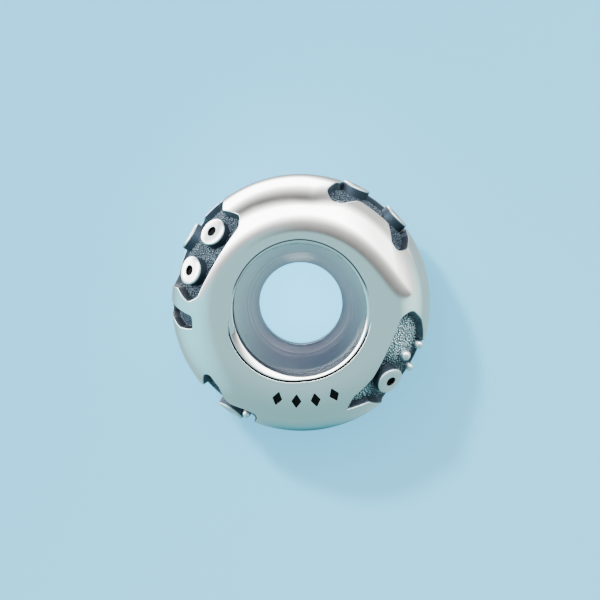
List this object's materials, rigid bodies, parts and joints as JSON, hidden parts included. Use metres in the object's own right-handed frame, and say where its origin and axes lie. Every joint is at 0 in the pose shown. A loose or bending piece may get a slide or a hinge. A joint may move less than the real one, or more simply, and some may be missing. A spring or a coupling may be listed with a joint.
{
  "type": "european charm bead",
  "caption": "Round half-round charm bead in polished silver with sunk pebbled patches, raised round buttons and a translucent silicone stopper ring in its bore.",
  "frame": {"origin": "on the bore's axis, in the plane of the back rim that the bead lies on", "axes": "+Z along the bore towards the front face; the bead lies on its side"},
  "size_m": [0.01, 0.01, 0.0044],
  "materials": {
    "silver": "polished sterling silver, oxidised dark in the sunk patches",
    "silicone": "translucent milky silicone"
  },
  "bodies": {
    "root": {"bead_body": "silver", "stopper_ring": "silicone"}
  },
  "joints": []
}
